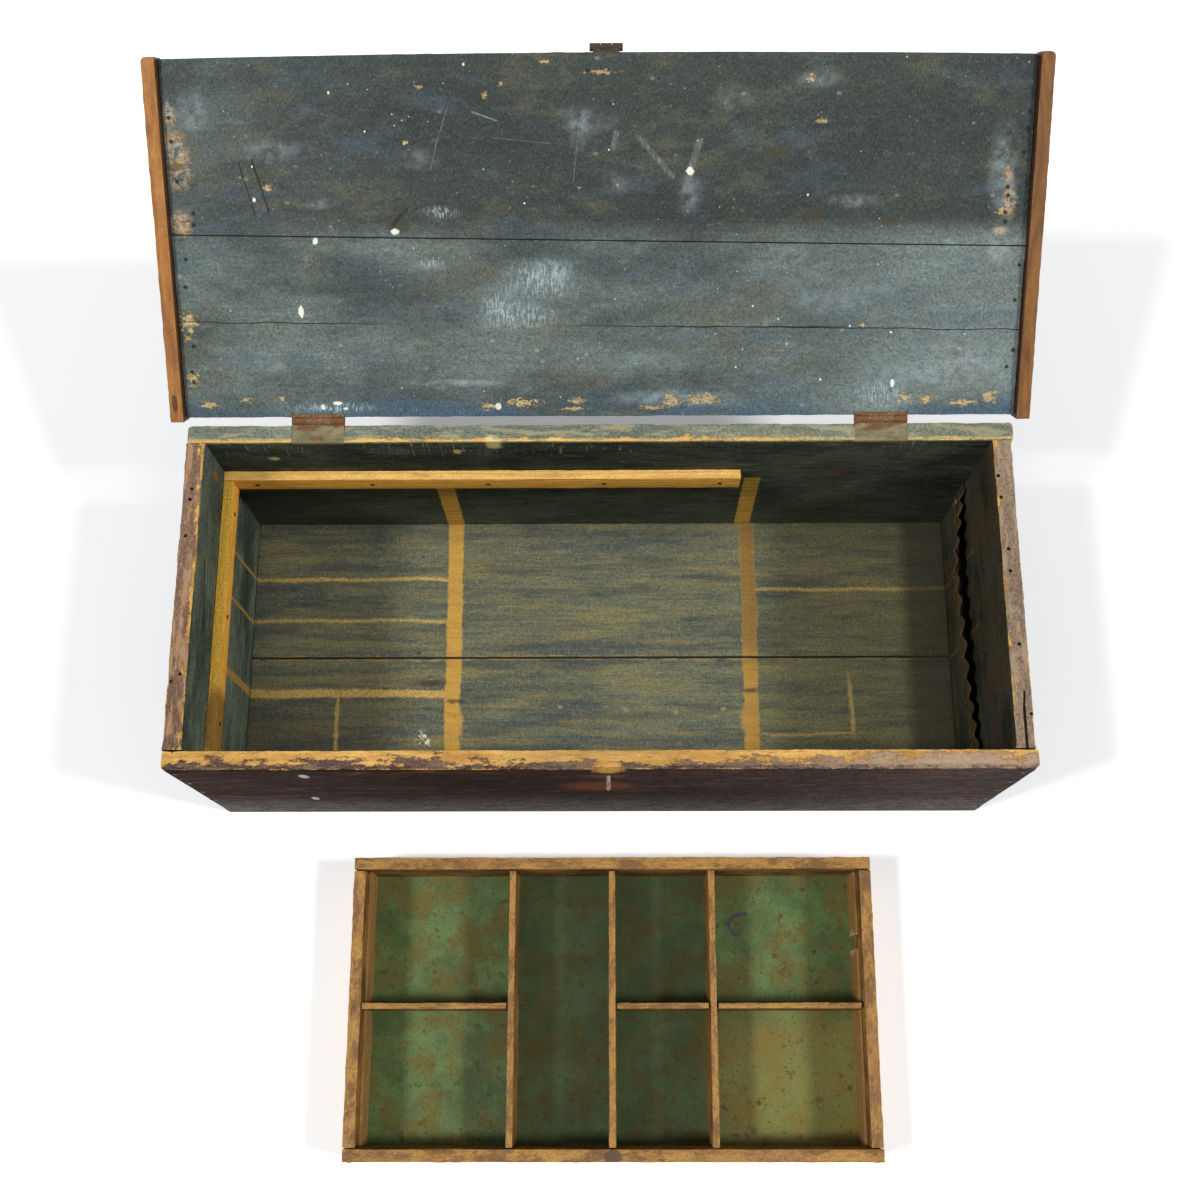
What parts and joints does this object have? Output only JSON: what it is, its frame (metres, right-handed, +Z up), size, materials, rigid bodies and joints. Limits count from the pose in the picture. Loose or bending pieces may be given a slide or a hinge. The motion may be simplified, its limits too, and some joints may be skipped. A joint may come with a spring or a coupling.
{
  "type": "antique wooden chest",
  "caption": "Long low painted pine chest with a butt-hinged lid, a hasp and staple, inner cleats and a leather strip, and a divided lift-out tray standing in front.",
  "frame": {"origin": "middle of the case's footprint, on the floor", "axes": "+X to the right seen from the front, +Y to the back, +Z up"},
  "size_m": [0.9486, 1.1337, 0.5035],
  "materials": {
    "case_paint": "worn dark paint over pine, satin",
    "floor_paint": "old blue-green paint with bare ghost lines, matt",
    "bare_pine": "bare aged pine, matt",
    "leather": "dry brown leather with a scalloped edge",
    "lid_paint": "old slate blue-green paint, satin",
    "rail_wood": "stained wood, satin",
    "liner_wood": "thin bare wood, matt",
    "tray_green": "green paint spotted with rust stains, matt",
    "tray_pine": "aged honey pine, satin",
    "tack_metal": "worn bright tack heads",
    "rusty_iron": "rusted iron, rough"
  },
  "bodies": {
    "case": {"case_back": "case_paint", "case_end_left": "case_paint", "case_end_right": "case_paint", "case_front_lower": "case_paint", "case_front_upper": "case_paint", "case_nails": "rusty_iron", "cleat_back": "bare_pine", "cleat_front": "bare_pine", "cleat_left": "bare_pine", "cleat_nails": "rusty_iron", "floor_back": "floor_paint", "floor_front": "floor_paint", "hinge_case_screws": "rusty_iron", "hinge_left_case_leaf": "rusty_iron", "hinge_left_pin": "rusty_iron", "hinge_right_case_leaf": "rusty_iron", "hinge_right_pin": "rusty_iron", "leather_strip": "leather", "staple": "rusty_iron", "strip_tacks": "tack_metal"},
    "lid": {"hasp_pin": "rusty_iron", "hasp_plate": "rusty_iron", "hasp_screws": "rusty_iron", "hinge_left_lid_leaf": "rusty_iron", "hinge_lid_screws": "rusty_iron", "hinge_right_lid_leaf": "rusty_iron", "lid_nails": "rusty_iron", "lid_plank_back": "lid_paint", "lid_plank_front": "lid_paint", "lid_rail_left": "rail_wood", "lid_rail_right": "rail_wood"},
    "strap": {"hasp_strap": "rusty_iron"},
    "tray": {"tray_back": "tray_pine", "tray_cross_left": "tray_pine", "tray_cross_middle": "tray_pine", "tray_cross_right": "tray_pine", "tray_divider_left": "tray_pine", "tray_divider_middle": "tray_pine", "tray_divider_right": "tray_pine", "tray_floor": "tray_green", "tray_front": "tray_pine", "tray_liner_left": "liner_wood", "tray_liner_right": "liner_wood", "tray_nails": "rusty_iron", "tray_side_left": "tray_pine", "tray_side_right": "tray_pine"}
  },
  "joints": [
    {"name": "lid_hinge", "type": "hinge", "parent": "case", "child": "lid", "pos_m": [0, 0.1972, 0.29015], "axis": [1, 0, 0], "range_deg": [0, 147.3]},
    {"name": "strap_hinge", "type": "hinge", "parent": "lid", "child": "strap", "pos_m": [0.0095, 0.53817, 0.4813], "axis": [1, 0, 0], "range_deg": [-55, 210.5]},
    {"name": "tray_lift", "type": "slide", "parent": "case", "child": "tray", "axis": [0, 0, 1], "range_m": [0, 0.3]}
  ]
}
